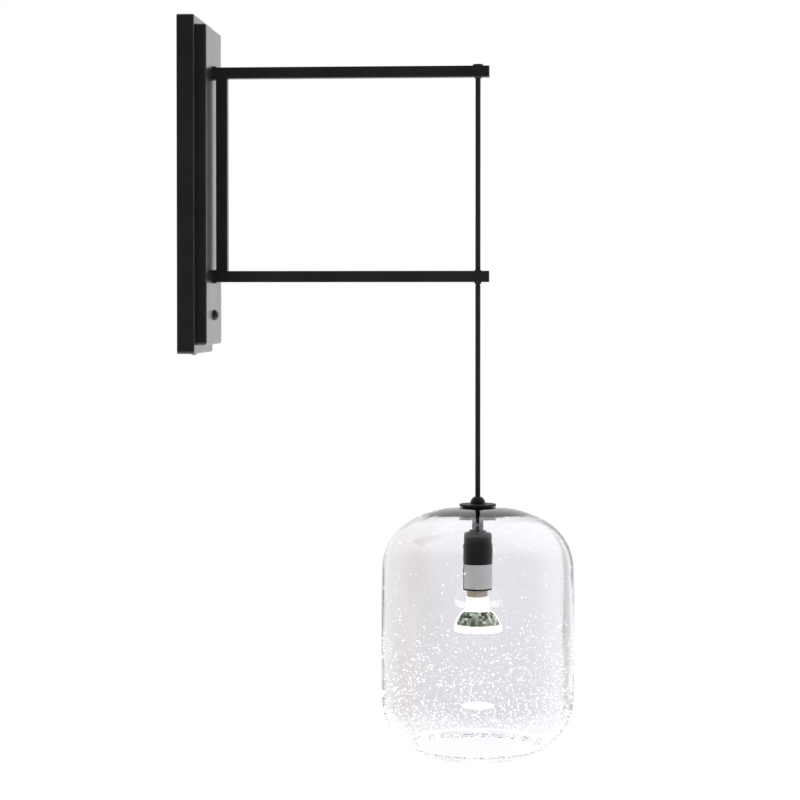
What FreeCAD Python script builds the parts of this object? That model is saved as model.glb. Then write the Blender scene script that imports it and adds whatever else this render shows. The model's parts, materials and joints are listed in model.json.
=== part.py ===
import FreeCAD, Part
import math
import os

# Hanging pendant wall sconce, in millimetres.
# The wall is the plane X = 0 and the arms run out along +X. Z is up.
# The origin is the centre of the canopy's back.
# Side-to-side is Y, and the object is symmetric about the plane Y = 0.

os.makedirs("parts", exist_ok=True)

V = FreeCAD.Vector
TO_FRONT = V(1, 0, 0)
TO_SIDE = V(0, 1, 0)
UP = V(0, 0, 1)

# ---------------------------------------------------------------- driving dimensions

# Canopy: a large tray against the wall and a smaller one on its front.
CANOPY_HEIGHT = 355.0
CANOPY_WIDTH = 125.0
CANOPY_DEPTH = 18.2
TIER_HEIGHT = 337.0
TIER_WIDTH = 105.0
TIER_DEPTH = 11.4
SHEET = 1.2
TRAY_CORNER = 3.2
CANOPY_EDGE = 2.0
TIER_EDGE = 2.8
FLANGE = 12.0

# Square-tube frame.
TUBE = 12.0
TUBE_WALL = 1.0
TUBE_EDGE = 0.8
UPPER_ARM_Z = 121.0
LOWER_ARM_Z = -96.0
ARM_END_X = 324.0
ROOT_PLATE = 14.3
ROOT_PLATE_T = 3.0
END_CAP_T = 1.2

# Pendant axis and cord.
AXIS_X = 312.0
CORD_R = 2.75
CORD_HOLE_R = 2.95
BEND_IN_CANOPY = 10.0
BEND_IN_ARM = 6.0
COLLAR_DROP = 2.0
PIVOT_DROP = 1.0
BEND_BALL_R = 2.5
BODY_GAP = 0.3

# Stack of the pendant, each height measured downwards.
GRIP_TOP_Z = -330.1
GRIP_HEIGHT = 7.6
GRIP_R = 8.0
DISC_R = 19.5
UPPER_DISC_T = 2.4
LOWER_DISC_T = 3.5
GASKET_R = 16.0
UPPER_GASKET_T = 0.6
LOWER_GASKET_T = 0.8
GLASS_TOP_T = 6.0
COUPLER_R = 6.0
COUPLER_HEIGHT = 13.5
COLLAR_R = 9.2
COLLAR_HEIGHT = 2.0
SOCKET_CAP_R = 14.6
SOCKET_SLEEVE_R = 15.2
SOCKET_HEIGHT = 62.3
SLEEVE_START = 12.2

# Hollow threaded rod, used in the pendant and at both arm roots.
ROD_R = 4.0
ROD_BORE_R = 3.05
ROD_NUT_FLATS = 13.0

# Glass shade: an outline of arcs, each with its radius and how far it turns.
GLASS_WALL = 3.5
GLASS_HOLE_R = 4.6
CROWN_START_R = 17.0
CROWN = (108.7, 32.5)
SHOULDER = (57.0, 56.0)
BARREL = (2860.0, 2.85)
HIP = (52.4, 42.8)
FOOT = (178.0, 9.2)
LIP_R = 5.0
LIP_FILLET_R = 6.0

# Twist-lock lamp, 50 mm across.
LAMP_R = 25.0
LAMP_BASE_R = 10.85
LAMP_BASE_HEIGHT = 13.2
LAMP_LENGTH = 49.2
PIN_SPREAD = 5.0
PIN_R = 1.5
PIN_LENGTH = 4.5
PIN_HEAD_R = 2.5
PIN_HEAD_T = 2.8
LOCK_ANGLE = 30.0
HOLDER_R = 13.5
HOLDER_HEIGHT = 21.5
HOLDER_RECESS = 5.8

# ---------------------------------------------------------------- worked-out levels

TIER_FRONT_X = CANOPY_DEPTH + TIER_DEPTH
ARM_START_X = TIER_FRONT_X + ROOT_PLATE_T
HALF_TUBE = TUBE / 2
LOWER_MOUTH_Z = LOWER_ARM_Z - HALF_TUBE - COLLAR_DROP
PIVOT_Z = LOWER_MOUTH_Z - PIVOT_DROP

UPPER_DISC_Z = GRIP_TOP_Z - GRIP_HEIGHT
UPPER_GASKET_Z = UPPER_DISC_Z - UPPER_DISC_T
GLASS_Z = UPPER_GASKET_Z - UPPER_GASKET_T
LOWER_GASKET_Z = GLASS_Z - GLASS_TOP_T
LOWER_DISC_Z = LOWER_GASKET_Z - LOWER_GASKET_T
COUPLER_Z = LOWER_DISC_Z - LOWER_DISC_T
COLLAR_Z = COUPLER_Z - COUPLER_HEIGHT
SOCKET_Z = COLLAR_Z - COLLAR_HEIGHT
SOCKET_END_Z = SOCKET_Z - SOCKET_HEIGHT
HOLDER_FACE_Z = SOCKET_END_Z + HOLDER_RECESS
LAMP_TOP_Z = HOLDER_FACE_Z - BODY_GAP
LAMP_FRONT_Z = LAMP_TOP_Z - LAMP_LENGTH


# ---------------------------------------------------------------- helpers

def block(x0, x1, y0, y1, z0, z1):
    """A plain block between two corners."""
    return Part.makeBox(x1 - x0, y1 - y0, z1 - z0, V(x0, y0, z0))


def rod_x(radius, x0, x1, y, z):
    """A round bar along X."""
    return Part.makeCylinder(radius, x1 - x0, V(x0, y, z), TO_FRONT)


def rod_z(radius, z_low, z_high, x=AXIS_X, y=0.0):
    """A round bar along Z, on the pendant's axis unless told otherwise."""
    return Part.makeCylinder(radius, z_high - z_low, V(x, y, z_low), UP)


def ring_z(outer, inner, z_low, z_high, x=AXIS_X, y=0.0):
    """A round bar along Z with a hole through it."""
    return rod_z(outer, z_low, z_high, x, y).cut(rod_z(inner, z_low - 1, z_high + 1, x, y))


def edges_where(shape, test):
    """The edges whose two ends both pass the test."""
    return [e for e in shape.Edges if all(test(v.Point) for v in e.Vertexes)]


def rounded_block(x0, x1, width, height, corner, front_edge):
    """A block with rounded corners along X and a softened front edge."""
    solid = block(x0, x1, -width / 2, width / 2, -height / 2, height / 2)
    along_x = [e for e in solid.Edges if abs(e.tangentAt(0).x) > 0.9]
    solid = solid.makeFillet(corner, along_x)
    front = edges_where(solid, lambda p: abs(p.x - x1) < 1e-6)
    return solid.makeFillet(front_edge, front)


def square_tube(length, edge):
    """A square tube along +X from the origin, centred on the X axis."""
    outer = block(0, length, -HALF_TUBE, HALF_TUBE, -HALF_TUBE, HALF_TUBE)
    outer = outer.makeFillet(edge, [e for e in outer.Edges if abs(e.tangentAt(0).x) > 0.9])
    half_bore = HALF_TUBE - TUBE_WALL
    return outer.cut(block(-1, length + 1, -half_bore, half_bore, -half_bore, half_bore))


def hex_nut(flats, bore, thickness):
    """A hexagonal nut on the Z axis, standing on the origin."""
    corner = flats / math.sqrt(3)
    points = [V(corner * math.cos(math.radians(60 * i)), corner * math.sin(math.radians(60 * i)), 0)
              for i in range(7)]
    nut = Part.Face(Part.makePolygon(points)).extrude(V(0, 0, thickness))
    return nut.cut(Part.makeCylinder(bore, thickness + 2, V(0, 0, -1)))


def domed(radius, rim, height):
    """A round button standing on the origin: a straight rim under a spherical top."""
    rise = height - rim
    sphere_r = (radius ** 2 + rise ** 2) / (2 * rise)
    ball = Part.makeSphere(sphere_r, V(0, 0, height - sphere_r))
    top = Part.makeCylinder(radius, rise, V(0, 0, rim)).common(ball)
    return Part.makeCylinder(radius, rim).fuse(top)


def pan_screw(head_r, head_t, shank_r, length):
    """A screw pointing along -Z, its domed head standing on the origin."""
    head = domed(head_r, 0.35 * head_t, head_t)
    drive = block(-head_r, head_r, -0.5, 0.5, 0.6 * head_t, head_t + 1)
    return head.cut(drive).fuse(Part.makeCylinder(shank_r, length, V(0, 0, -length)))


def turned(shape, axis, degrees):
    """A copy of the shape, turned about an axis through the origin."""
    result = shape.copy()
    result.rotate(V(0, 0, 0), axis, degrees)
    return result


def moved(shape, x, y, z):
    """A copy of the shape, shifted."""
    result = shape.copy()
    result.translate(V(x, y, z))
    return result


def facing_front(shape):
    """Turns a piece that stands along +Z so that it points along +X."""
    return turned(shape, TO_SIDE, 90)


def spin_about_axis(edges):
    """A solid turned about the pendant's axis from a closed outline in X and Z."""
    face = Part.Face(Part.Wire(edges))
    solid = face.revolve(V(0, 0, 0), UP, 360)
    return moved(solid, AXIS_X, 0, 0)


def outline_of(points):
    """Closed straight outline through (radius, height) pairs."""
    corners = [V(r, 0, z) for r, z in points]
    return [Part.makeLine(a, b) for a, b in zip(corners, corners[1:] + corners[:1])]


# ---------------------------------------------------------------- canopy

COVER_NUT_Z = -137.0
COVER_NUT_R = 5.75
COVER_NUT_T = 4.8
COVER_NUT_RIM = 0.8
STUD_TIP = 2.2
STUD_R = 2.0
BRACKET_WIDTH = 40.0
BRACKET_T = 2.0
BRACKET_TAB = 13.0
BRACKET_BEND = 3.0
WALL_HOLE_R = 2.5
WALL_HOLE_SPACING = 300.0
BOX_SLOT_SPACING = 82.0
BOX_SLOT_LENGTH = 28.0
CABLE_HOLE_R = 9.0
CABLE_HOLE_Z = 15.0
CANOPY_SCREW_X = 7.5
EARTH_Z = -66.0
TIER_SCREW_Y = 38.0
TIER_SCREW_R = 1.5


def tray(x0, x1, width, height, front_edge):
    """A shallow steel tray that opens towards the wall."""
    outer = rounded_block(x0, x1, width, height, TRAY_CORNER, front_edge)
    inner = rounded_block(x0 - 1, x1 - SHEET, width - 2 * SHEET, height - 2 * SHEET,
                          TRAY_CORNER - SHEET, front_edge - SHEET)
    return outer.cut(inner)


def tier_screw_places():
    """Side and height of the four screws that hold the small tray."""
    z = TIER_HEIGHT / 2 - SHEET - FLANGE / 2
    return [(y, side * z) for side in (1, -1) for y in (-TIER_SCREW_Y, TIER_SCREW_Y)]


def outer_canopy():
    """The large tray, with a window behind the small one."""
    solid = tray(0, CANOPY_DEPTH, CANOPY_WIDTH, CANOPY_HEIGHT, CANOPY_EDGE)
    half_w = TIER_WIDTH / 2 - SHEET - FLANGE
    half_h = TIER_HEIGHT / 2 - SHEET - FLANGE
    window = block(CANOPY_DEPTH - 3, CANOPY_DEPTH + 1, -half_w, half_w, -half_h, half_h)
    window = window.makeFillet(6.0, [e for e in window.Edges if abs(e.tangentAt(0).x) > 0.9])
    solid = solid.cut(window)
    for y, z in tier_screw_places():
        solid = solid.cut(rod_x(TIER_SCREW_R + 0.2, CANOPY_DEPTH - 3, CANOPY_DEPTH + 1, y, z))
    bottom = -CANOPY_HEIGHT / 2
    return solid.cut(rod_z(STUD_R + 0.25, bottom - 1, bottom + 3, CANOPY_SCREW_X))


def inner_canopy():
    """The small tray, with a foot folded inwards at its top and bottom."""
    solid = tray(CANOPY_DEPTH, TIER_FRONT_X, TIER_WIDTH, TIER_HEIGHT, TIER_EDGE)
    half_w = TIER_WIDTH / 2 - SHEET
    z_wall = TIER_HEIGHT / 2 - SHEET
    for side in (1, -1):
        z_pair = sorted([side * z_wall, side * (z_wall - FLANGE)])
        foot = block(CANOPY_DEPTH, CANOPY_DEPTH + SHEET, -half_w + 2, half_w - 2, *z_pair)
        solid = solid.fuse(foot)
    for y, z in tier_screw_places():
        solid = solid.cut(rod_x(TIER_SCREW_R, CANOPY_DEPTH - 1, CANOPY_DEPTH + SHEET + 1, y, z))
    for z in (UPPER_ARM_Z, LOWER_ARM_Z):
        solid = solid.cut(rod_x(ROD_R + 0.1, TIER_FRONT_X - 3, TIER_FRONT_X + 1, 0, z))
    return solid.cut(rod_x(STUD_R + 0.1, TIER_FRONT_X - 3, TIER_FRONT_X + 1, 0, COVER_NUT_Z))


def tier_screws():
    """Four small screws, driven from the wall side."""
    screw = turned(pan_screw(2.9, 1.8, TIER_SCREW_R, 3.2), TO_SIDE, -90)
    return [moved(screw, CANOPY_DEPTH - SHEET, y, z) for y, z in tier_screw_places()]


def slot_x(z_centre):
    """A tall slot cutter through the bracket."""
    half = BOX_SLOT_LENGTH / 2 - WALL_HOLE_R
    middle = block(-1, BRACKET_T + 1, -WALL_HOLE_R, WALL_HOLE_R, z_centre - half, z_centre + half)
    low_end = rod_x(WALL_HOLE_R, -1, BRACKET_T + 1, 0, z_centre - half)
    high_end = rod_x(WALL_HOLE_R, -1, BRACKET_T + 1, 0, z_centre + half)
    return middle.fuse(low_end).fuse(high_end)


def wall_bracket():
    """Steel strap on the wall; its ends fold forward inside the large tray."""
    half_w = BRACKET_WIDTH / 2
    half_h = CANOPY_HEIGHT / 2 - SHEET
    solid = block(0, BRACKET_TAB, -half_w, half_w, -half_h, half_h)
    bends = edges_where(solid, lambda p: abs(p.x) < 1e-6)
    bends = [e for e in bends if abs(e.tangentAt(0).y) > 0.9]
    solid = solid.makeFillet(BRACKET_BEND, bends)
    hollow = block(BRACKET_T, BRACKET_TAB + 1, -half_w - 1, half_w + 1, -half_h + BRACKET_T,
                   half_h - BRACKET_T)
    inner_bends = edges_where(hollow, lambda p: abs(p.x - BRACKET_T) < 1e-6)
    inner_bends = [e for e in inner_bends if abs(e.tangentAt(0).y) > 0.9]
    solid = solid.cut(hollow.makeFillet(BRACKET_BEND - BRACKET_T, inner_bends))
    for side in (1, -1):
        solid = solid.cut(rod_x(WALL_HOLE_R, -1, BRACKET_T + 1, 0, side * WALL_HOLE_SPACING / 2))
        solid = solid.cut(slot_x(side * BOX_SLOT_SPACING / 2))
    solid = solid.cut(rod_x(CABLE_HOLE_R, -1, BRACKET_T + 1, 0, CABLE_HOLE_Z))
    solid = solid.cut(rod_x(STUD_R, -1, BRACKET_T + 1, 0, EARTH_Z))
    solid = solid.cut(rod_x(STUD_R, -1, BRACKET_T + 1, 0, COVER_NUT_Z))
    return solid.cut(rod_z(STUD_R, -half_h - 1, -half_h + BRACKET_T + 1, CANOPY_SCREW_X))


def cover_stud():
    """Stud pressed into the bracket, for the domed nut."""
    flange = rod_x(3.6, BRACKET_T, BRACKET_T + 1.2, 0, COVER_NUT_Z)
    return flange.fuse(rod_x(STUD_R, 0, TIER_FRONT_X + STUD_TIP, 0, COVER_NUT_Z))


def cover_nut():
    """Small domed nut, low on the canopy's front."""
    nut = domed(COVER_NUT_R, COVER_NUT_RIM, COVER_NUT_T)
    nut = nut.cut(Part.makeCylinder(STUD_R, STUD_TIP))
    return moved(facing_front(nut), TIER_FRONT_X, 0, COVER_NUT_Z)


def canopy_screw():
    """Screw through the large tray's underside into the bracket's foot."""
    screw = turned(pan_screw(3.9, 2.4, STUD_R, 6.0), TO_FRONT, 180)
    return moved(screw, CANOPY_SCREW_X, 0, -CANOPY_HEIGHT / 2)


def earth_screw():
    """Earth screw in the bracket."""
    screw = facing_front(pan_screw(3.8, 2.6, STUD_R, BRACKET_T))
    return moved(screw, BRACKET_T, 0, EARTH_Z)


# Terminal block: three poles side by side, wires in from below and above.
BLOCK_DEPTH = 13.0
BLOCK_Z0 = 62.0
BLOCK_Z1 = 84.0
POLE_PITCH = 10.0
POLE_X = BRACKET_T + 6.5
CLAMP_ROWS = (BLOCK_Z0 + 6, BLOCK_Z1 - 6)


def pole_places():
    """Side positions of the three poles."""
    return [i * POLE_PITCH for i in (-1, 0, 1)]


def terminal_block():
    """White block with a bore and two clamp-screw wells in each pole."""
    half_w = 1.5 * POLE_PITCH + 1.5
    solid = block(BRACKET_T, BRACKET_T + BLOCK_DEPTH, -half_w, half_w, BLOCK_Z0, BLOCK_Z1)
    solid = solid.makeFillet(1.0, edges_where(solid, lambda p: p.x > BRACKET_T + 1))
    for y in pole_places():
        solid = solid.cut(rod_z(1.9, BLOCK_Z0 - 1, BLOCK_Z1 + 1, POLE_X, y))
        for z in CLAMP_ROWS:
            solid = solid.cut(rod_x(2.1, POLE_X, BRACKET_T + BLOCK_DEPTH + 1, y, z))
    for y in (-POLE_PITCH / 2, POLE_PITCH / 2):
        groove = block(BRACKET_T + 7, BRACKET_T + BLOCK_DEPTH + 1, y - 0.8, y + 0.8,
                       BLOCK_Z0 - 1, BLOCK_Z1 + 1)
        solid = solid.cut(groove)
    return solid


def terminal_screws():
    """Six clamp screws, one in each well."""
    screws = []
    for y in pole_places():
        for z in CLAMP_ROWS:
            screw = rod_x(1.9, POLE_X + 2.2, BRACKET_T + BLOCK_DEPTH - 1.5, y, z)
            slot = block(BRACKET_T + BLOCK_DEPTH - 2.3, BRACKET_T + BLOCK_DEPTH, y - 2, y + 2,
                         z - 0.3, z + 0.3)
            screws.append(screw.cut(slot))
    return screws


# ---------------------------------------------------------------- square-tube frame

STUD_BACK_X = 19.5
PLUG_LENGTH = 14.0
NUT_T = 4.0
WASHER_T = 1.2
ARM_LEVELS = (UPPER_ARM_Z, LOWER_ARM_Z)
FERRULE_R = 3.4
FERRULE_DROP = 1.5
CLAMP_HEAD_R = 5.75
CLAMP_HEAD_T = 1.8
CLAMP_R = 2.5
BUSHING_R = 3.2
BUSHING_TOP_R = 3.5
BUSHING_TOP_T = 1.2
BUSHING_LOW_R = 3.7
BUSHING_WIDE_BORE = 3.05


def arm(z):
    """One arm as an open tube, from its root plate to its end cap."""
    return moved(square_tube(ARM_END_X - END_CAP_T - ARM_START_X, TUBE_EDGE), ARM_START_X, 0, z)


def upper_arm():
    """The arm that the cord runs through."""
    z = UPPER_ARM_Z
    outlet = rod_z(FERRULE_R, z - HALF_TUBE - 1, z - HALF_TUBE + TUBE_WALL + 0.5)
    clamp_hole = rod_z(CLAMP_R, z + HALF_TUBE - TUBE_WALL - 0.5, z + HALF_TUBE + 1)
    return arm(z).cut(outlet).cut(clamp_hole)


def lower_arm():
    """The arm that guides the cord, with a hole straight through."""
    z = LOWER_ARM_Z
    return arm(z).cut(rod_z(BUSHING_R, z - TUBE, z + TUBE))


def back_post():
    """The upright between the two arms, just off the canopy."""
    length = UPPER_ARM_Z - LOWER_ARM_Z - TUBE
    post = turned(square_tube(length, TUBE_EDGE), TO_SIDE, -90)
    return moved(post, ARM_START_X + HALF_TUBE, 0, LOWER_ARM_Z + HALF_TUBE)


def root_plate(z):
    """Small square plate between an arm and the canopy."""
    half = ROOT_PLATE / 2
    plate = block(TIER_FRONT_X, ARM_START_X, -half, half, z - half, z + half)
    plate = plate.makeFillet(0.8, [e for e in plate.Edges if abs(e.tangentAt(0).x) > 0.9])
    return plate.cut(rod_x(ROD_R, TIER_FRONT_X - 1, ARM_START_X + 1, 0, z))


def end_cap(z):
    """Plate that closes the front end of an arm, with a spigot inside the tube."""
    cap = block(ARM_END_X - END_CAP_T, ARM_END_X, -HALF_TUBE, HALF_TUBE, z - HALF_TUBE, z + HALF_TUBE)
    cap = cap.makeFillet(TUBE_EDGE, [e for e in cap.Edges if abs(e.tangentAt(0).x) > 0.9])
    half = HALF_TUBE - TUBE_WALL - 0.05
    spigot = block(ARM_END_X - END_CAP_T - 2.5, ARM_END_X - END_CAP_T, -half, half, z - half, z + half)
    return cap.fuse(spigot)


def arm_plugs():
    """Threaded blocks fixed inside the arms' back ends."""
    half = HALF_TUBE - TUBE_WALL
    plugs = []
    for z in ARM_LEVELS:
        plug = block(ARM_START_X, ARM_START_X + PLUG_LENGTH, -half, half, z - half, z + half)
        plugs.append(plug.cut(rod_x(ROD_R, ARM_START_X - 1, ARM_START_X + PLUG_LENGTH + 1, 0, z)))
    return plugs


def arm_studs():
    """Hollow threaded tubes that hold the arms to the canopy."""
    studs = []
    for z in ARM_LEVELS:
        stud = rod_x(ROD_R, STUD_BACK_X, ARM_START_X + PLUG_LENGTH - 2, 0, z)
        studs.append(stud.cut(rod_x(ROD_BORE_R, STUD_BACK_X - 1, ARM_START_X + PLUG_LENGTH, 0, z)))
    return studs


def arm_stud_nuts():
    """A nut and a washer on each stud, behind the small tray's front."""
    pieces = []
    back = TIER_FRONT_X - SHEET
    nut = facing_front(hex_nut(ROD_NUT_FLATS, ROD_R, NUT_T))
    for z in ARM_LEVELS:
        washer = rod_x(8.0, back - WASHER_T, back, 0, z)
        pieces.append(washer.cut(rod_x(ROD_R, back - WASHER_T - 1, back + 1, 0, z)))
        pieces.append(moved(nut, back - WASHER_T - NUT_T, 0, z))
    return pieces


def cord_bush():
    """Soft cap on the upper stud's back end, where the cord goes in."""
    lip = rod_x(5.2, STUD_BACK_X - 1.4, STUD_BACK_X, 0, UPPER_ARM_Z)
    skirt = rod_x(5.2, STUD_BACK_X, STUD_BACK_X + 2.8, 0, UPPER_ARM_Z)
    skirt = skirt.cut(rod_x(ROD_R, STUD_BACK_X, STUD_BACK_X + 4, 0, UPPER_ARM_Z))
    return lip.fuse(skirt).cut(rod_x(CORD_HOLE_R, STUD_BACK_X - 3, STUD_BACK_X + 4, 0, UPPER_ARM_Z))


def cord_clamp_screw():
    """Flat chamfered screw on top of the upper arm; its tip stops on the cord's bend."""
    top = UPPER_ARM_Z + HALF_TUBE
    tip = UPPER_ARM_Z + BEND_IN_ARM / 3
    head = rod_z(CLAMP_HEAD_R, top, top + CLAMP_HEAD_T)
    head = head.makeChamfer(0.7, [e for e in head.Edges if e.BoundBox.ZMin > top + 1])
    key = moved(hex_nut(3.0, 0.01, 2.0), AXIS_X, 0, top + CLAMP_HEAD_T - 1.2)
    key = key.fuse(rod_z(0.5, top + CLAMP_HEAD_T - 1.2, top + CLAMP_HEAD_T + 0.8))
    return head.cut(key).fuse(rod_z(CLAMP_R, tip, top))


def upper_ferrule():
    """Tapered collar where the cord comes out under the upper arm."""
    under = UPPER_ARM_Z - HALF_TUBE
    low = under - FERRULE_DROP
    outline = outline_of([(CORD_HOLE_R, low), (FERRULE_R - 0.2, low), (FERRULE_R + 0.3, under),
                          (FERRULE_R, under), (FERRULE_R, under + TUBE_WALL),
                          (CORD_HOLE_R, under + TUBE_WALL)])
    return spin_about_axis(outline)


def lower_bushing():
    """Bushing through the lower arm with a collar above and a wider one below."""
    over = LOWER_ARM_Z + HALF_TUBE
    under = LOWER_ARM_Z - HALF_TUBE
    wide_from = PIVOT_Z + BEND_BALL_R + BODY_GAP + 1
    outline = outline_of([
        (CORD_HOLE_R, over + BUSHING_TOP_T), (BUSHING_TOP_R - 0.3, over + BUSHING_TOP_T),
        (BUSHING_TOP_R, over + BUSHING_TOP_T - 0.3), (BUSHING_TOP_R, over),
        (BUSHING_R, over), (BUSHING_R, under),
        (BUSHING_LOW_R, under), (BUSHING_LOW_R, LOWER_MOUTH_Z + 0.3),
        (BUSHING_LOW_R - 0.3, LOWER_MOUTH_Z), (BUSHING_WIDE_BORE, LOWER_MOUTH_Z),
        (BUSHING_WIDE_BORE, wide_from), (CORD_HOLE_R, wide_from)])
    return spin_about_axis(outline)


# ---------------------------------------------------------------- cord

CORD_END_Z = PIVOT_Z + BEND_BALL_R + BODY_GAP
FERRULE_Z = UPPER_ARM_Z - HALF_TUBE - FERRULE_DROP
TAIL_END_Z = -390.0


def cord_route():
    """Corner points of the cord's route from the terminal block to the upper arm's outlet."""
    return [V(POLE_X, 0, BLOCK_Z1), V(POLE_X, 0, UPPER_ARM_Z),
            V(AXIS_X, 0, UPPER_ARM_Z), V(AXIS_X, 0, FERRULE_Z)]


def routed_cord(points, radii):
    """A round cord along straight runs, with one tangent arc at each inner point."""
    edges = []
    start = points[0]
    length = 0.0
    for before, corner, after, radius in zip(points, points[1:], points[2:], radii):
        into = (corner - before).normalize()
        out = (after - corner).normalize()
        turn = into.getAngle(out)
        trim = radius * math.tan(turn / 2)
        arc_start = corner - into * trim
        arc_end = corner + out * trim
        towards = (out - into).normalize()
        middle = corner + towards * (radius / math.cos(turn / 2) - radius)
        edges.append(Part.makeLine(start, arc_start))
        edges.append(Part.Arc(arc_start, middle, arc_end).toShape())
        length += (arc_start - start).Length + radius * turn
        start = arc_end
    edges.append(Part.makeLine(start, points[-1]))
    length += (points[-1] - start).Length
    first = (points[1] - points[0]).normalize()
    end = Part.Wire(Part.makeCircle(CORD_R, points[0], first))
    cord = Part.Wire(edges).makePipeShell([end], True, False)
    expected = math.pi * CORD_R ** 2 * length
    print("cord run", round(length, 1), "mm, radii", radii, "volume over expected",
          round(cord.Volume / expected, 4))
    return cord


def cord_inside():
    """Cord held all the way by the canopy and the upper arm."""
    return routed_cord(cord_route(), [BEND_IN_CANOPY, BEND_IN_ARM])


def cord_between_arms():
    """Tight straight stretch from the upper arm into the lower bushing."""
    return rod_z(CORD_R, CORD_END_Z, FERRULE_Z)


def cord_bend():
    """The short bit of cord that bends as the pendant swings."""
    return Part.makeSphere(BEND_BALL_R, V(AXIS_X, 0, PIVOT_Z))


def cord_drop():
    """Straight stretch that carries the pendant, hollowed over the bending bit."""
    cup = Part.makeSphere(BEND_BALL_R + BODY_GAP, V(AXIS_X, 0, PIVOT_Z))
    return rod_z(CORD_R, GRIP_TOP_Z, PIVOT_Z).cut(cup)


def cord_tail():
    """End of the cord, from the grip down into the socket."""
    return rod_z(CORD_R, TAIL_END_Z, GRIP_TOP_Z)


# ---------------------------------------------------------------- pendant fittings

GRIP_FLAT_R = 3.7
ROD_TOP_Z = GRIP_TOP_Z - 3.2
ROD_END_Z = SOCKET_Z - 8.6
SET_SCREW_Z = COLLAR_Z + 6.4
SET_SCREW_R = 1.5
CAP_WALL = 1.0
CAP_SKIRT_Z = SOCKET_Z - 22.0
BRIDGE_HALF_Y = 11.0
BRIDGE_WIDTH = 9.0
BRIDGE_T = 1.0
BRIDGE_SCREW_Y = 7.0
LABEL_HEIGHT = 25.4
LABEL_LIFT = 1.9
LABEL_T = 0.18
LABEL_START = -153.0
LABEL_SPAN = 180.0


def cord_grip():
    """Small dome that closes on the cord."""
    base = UPPER_DISC_Z
    shoulder = Part.Arc(V(GRIP_R, 0, base + 0.8), V(0.83 * GRIP_R, 0, base + 0.66 * GRIP_HEIGHT),
                        V(GRIP_FLAT_R, 0, GRIP_TOP_Z)).toShape()
    corners = [V(GRIP_FLAT_R, 0, GRIP_TOP_Z), V(CORD_HOLE_R, 0, GRIP_TOP_Z),
               V(CORD_HOLE_R, 0, ROD_TOP_Z), V(ROD_R, 0, ROD_TOP_Z), V(ROD_R, 0, base),
               V(GRIP_R, 0, base), V(GRIP_R, 0, base + 0.8)]
    edges = [Part.makeLine(a, b) for a, b in zip(corners, corners[1:])]
    return spin_about_axis(edges + [shoulder])


def disc(z_top, thickness):
    """A turned disc with softened edges and a hole for the threaded tube."""
    z_low = z_top - thickness
    solid = rod_z(DISC_R, z_low, z_top)
    solid = solid.makeFillet(0.4, [e for e in solid.Edges if e.BoundBox.DiagonalLength > DISC_R])
    return solid.cut(rod_z(ROD_R, z_low - 1, z_top + 1))


def shade_gaskets():
    """Rubber rings above and below the glass."""
    inner = ROD_R + 0.2
    return [ring_z(GASKET_R, inner, GLASS_Z, UPPER_GASKET_Z),
            ring_z(GASKET_R, inner, LOWER_DISC_Z, LOWER_GASKET_Z)]


def threaded_tube():
    """Hollow tube that holds the whole stack together."""
    return ring_z(ROD_R, ROD_BORE_R, ROD_END_Z, ROD_TOP_Z)


def coupler():
    """Round nut between the lower disc and the socket."""
    solid = ring_z(COUPLER_R, ROD_R, COLLAR_Z, COUPLER_Z)
    hole = Part.makeCylinder(SET_SCREW_R, COUPLER_R, V(AXIS_X, 0, SET_SCREW_Z), V(0, -1, 0))
    return solid.cut(hole)


def coupler_set_screw():
    """Small headless screw in the coupler's front."""
    length = COUPLER_R - ROD_R - 0.2
    screw = Part.makeCylinder(SET_SCREW_R, length, V(AXIS_X, -ROD_R, SET_SCREW_Z), V(0, -1, 0))
    slot = block(AXIS_X - 2, AXIS_X + 2, -ROD_R - length - 1, -ROD_R - length + 0.6,
                 SET_SCREW_Z - 0.25, SET_SCREW_Z + 0.25)
    return screw.cut(slot)


def socket_collar():
    """Low shoulder on top of the socket."""
    solid = rod_z(COLLAR_R, SOCKET_Z, COLLAR_Z)
    solid = solid.makeChamfer(0.8, [e for e in solid.Edges if e.BoundBox.ZMin > COLLAR_Z - 0.5
                                    and e.BoundBox.DiagonalLength > COLLAR_R])
    return solid.cut(rod_z(ROD_R, SOCKET_Z - 1, COLLAR_Z + 1))


def socket_cap():
    """Turned cap: the top of the black housing, its skirt inside the sleeve."""
    outer = rod_z(SOCKET_CAP_R, CAP_SKIRT_Z, SOCKET_Z)
    outer = outer.makeFillet(2.6, [e for e in outer.Edges if e.BoundBox.ZMin > SOCKET_Z - 0.5
                                   and e.BoundBox.DiagonalLength > SOCKET_CAP_R])
    inner = rod_z(SOCKET_CAP_R - CAP_WALL, CAP_SKIRT_Z - 1, SOCKET_Z - CAP_WALL)
    inner = inner.makeFillet(1.6, [e for e in inner.Edges if e.BoundBox.ZMin > SOCKET_Z - 2
                                   and e.BoundBox.DiagonalLength > SOCKET_CAP_R])
    return outer.cut(inner).cut(rod_z(ROD_R, SOCKET_Z - 3, SOCKET_Z + 1))


def socket_sleeve():
    """Turned sleeve round the lampholder, slightly wider than the cap."""
    top = SOCKET_Z - SLEEVE_START
    solid = rod_z(SOCKET_SLEEVE_R, SOCKET_END_Z, top)
    rims = [e for e in solid.Edges if e.BoundBox.DiagonalLength > SOCKET_SLEEVE_R]
    solid = solid.makeFillet(0.4, [e for e in rims if e.BoundBox.ZLength < 0.1])
    return solid.cut(rod_z(SOCKET_CAP_R, SOCKET_END_Z - 1, top + 1))


def tube_locknut():
    """Nut inside the cap, under the lampholder's bridge."""
    thickness = 3.5
    nut = hex_nut(ROD_NUT_FLATS, ROD_R, thickness)
    return moved(nut, AXIS_X, 0, SOCKET_Z - CAP_WALL - BRIDGE_T - thickness)


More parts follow.
